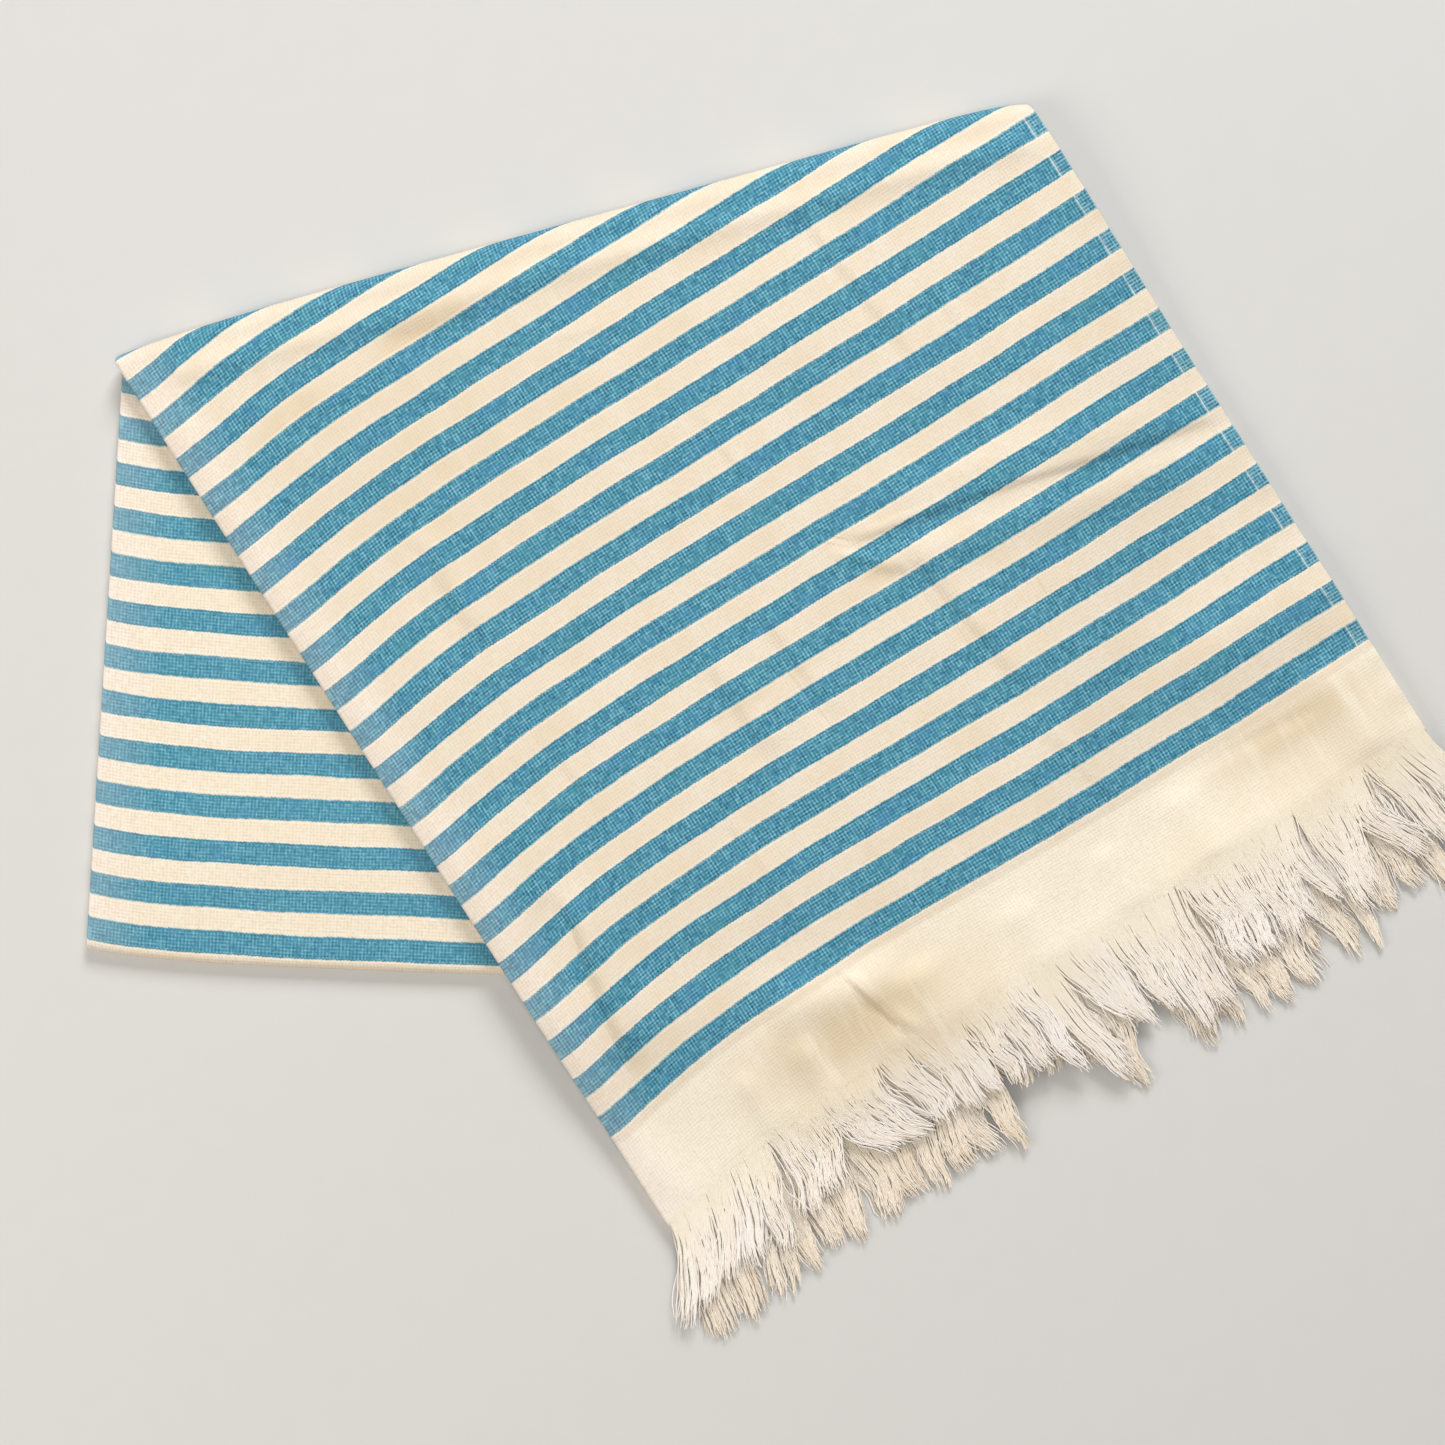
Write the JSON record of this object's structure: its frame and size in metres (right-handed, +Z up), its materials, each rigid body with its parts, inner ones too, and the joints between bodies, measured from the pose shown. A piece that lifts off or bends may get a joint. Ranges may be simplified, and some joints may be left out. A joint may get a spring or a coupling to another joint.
{
  "type": "folded towel",
  "caption": "Flat-woven striped cotton towel with fringed ends, folded in half both ways and then doubled over on a slanting fold",
  "frame": {"origin": "under the middle of the folded towel's outline, on the surface it lies on", "axes": "+Z up out of the surface, +X to the right and +Y to the top of the towel as seen from straight above"},
  "size_m": [0.7564, 0.6497, 0.0214],
  "materials": {
    "striped_cotton": "flat weave",
    "fringe_yarn": "loose yarn"
  },
  "bodies": {
    "root": {"cloth": "striped_cotton", "fringe_upper": "fringe_yarn", "fringe_lower": "fringe_yarn"}
  },
  "joints": []
}
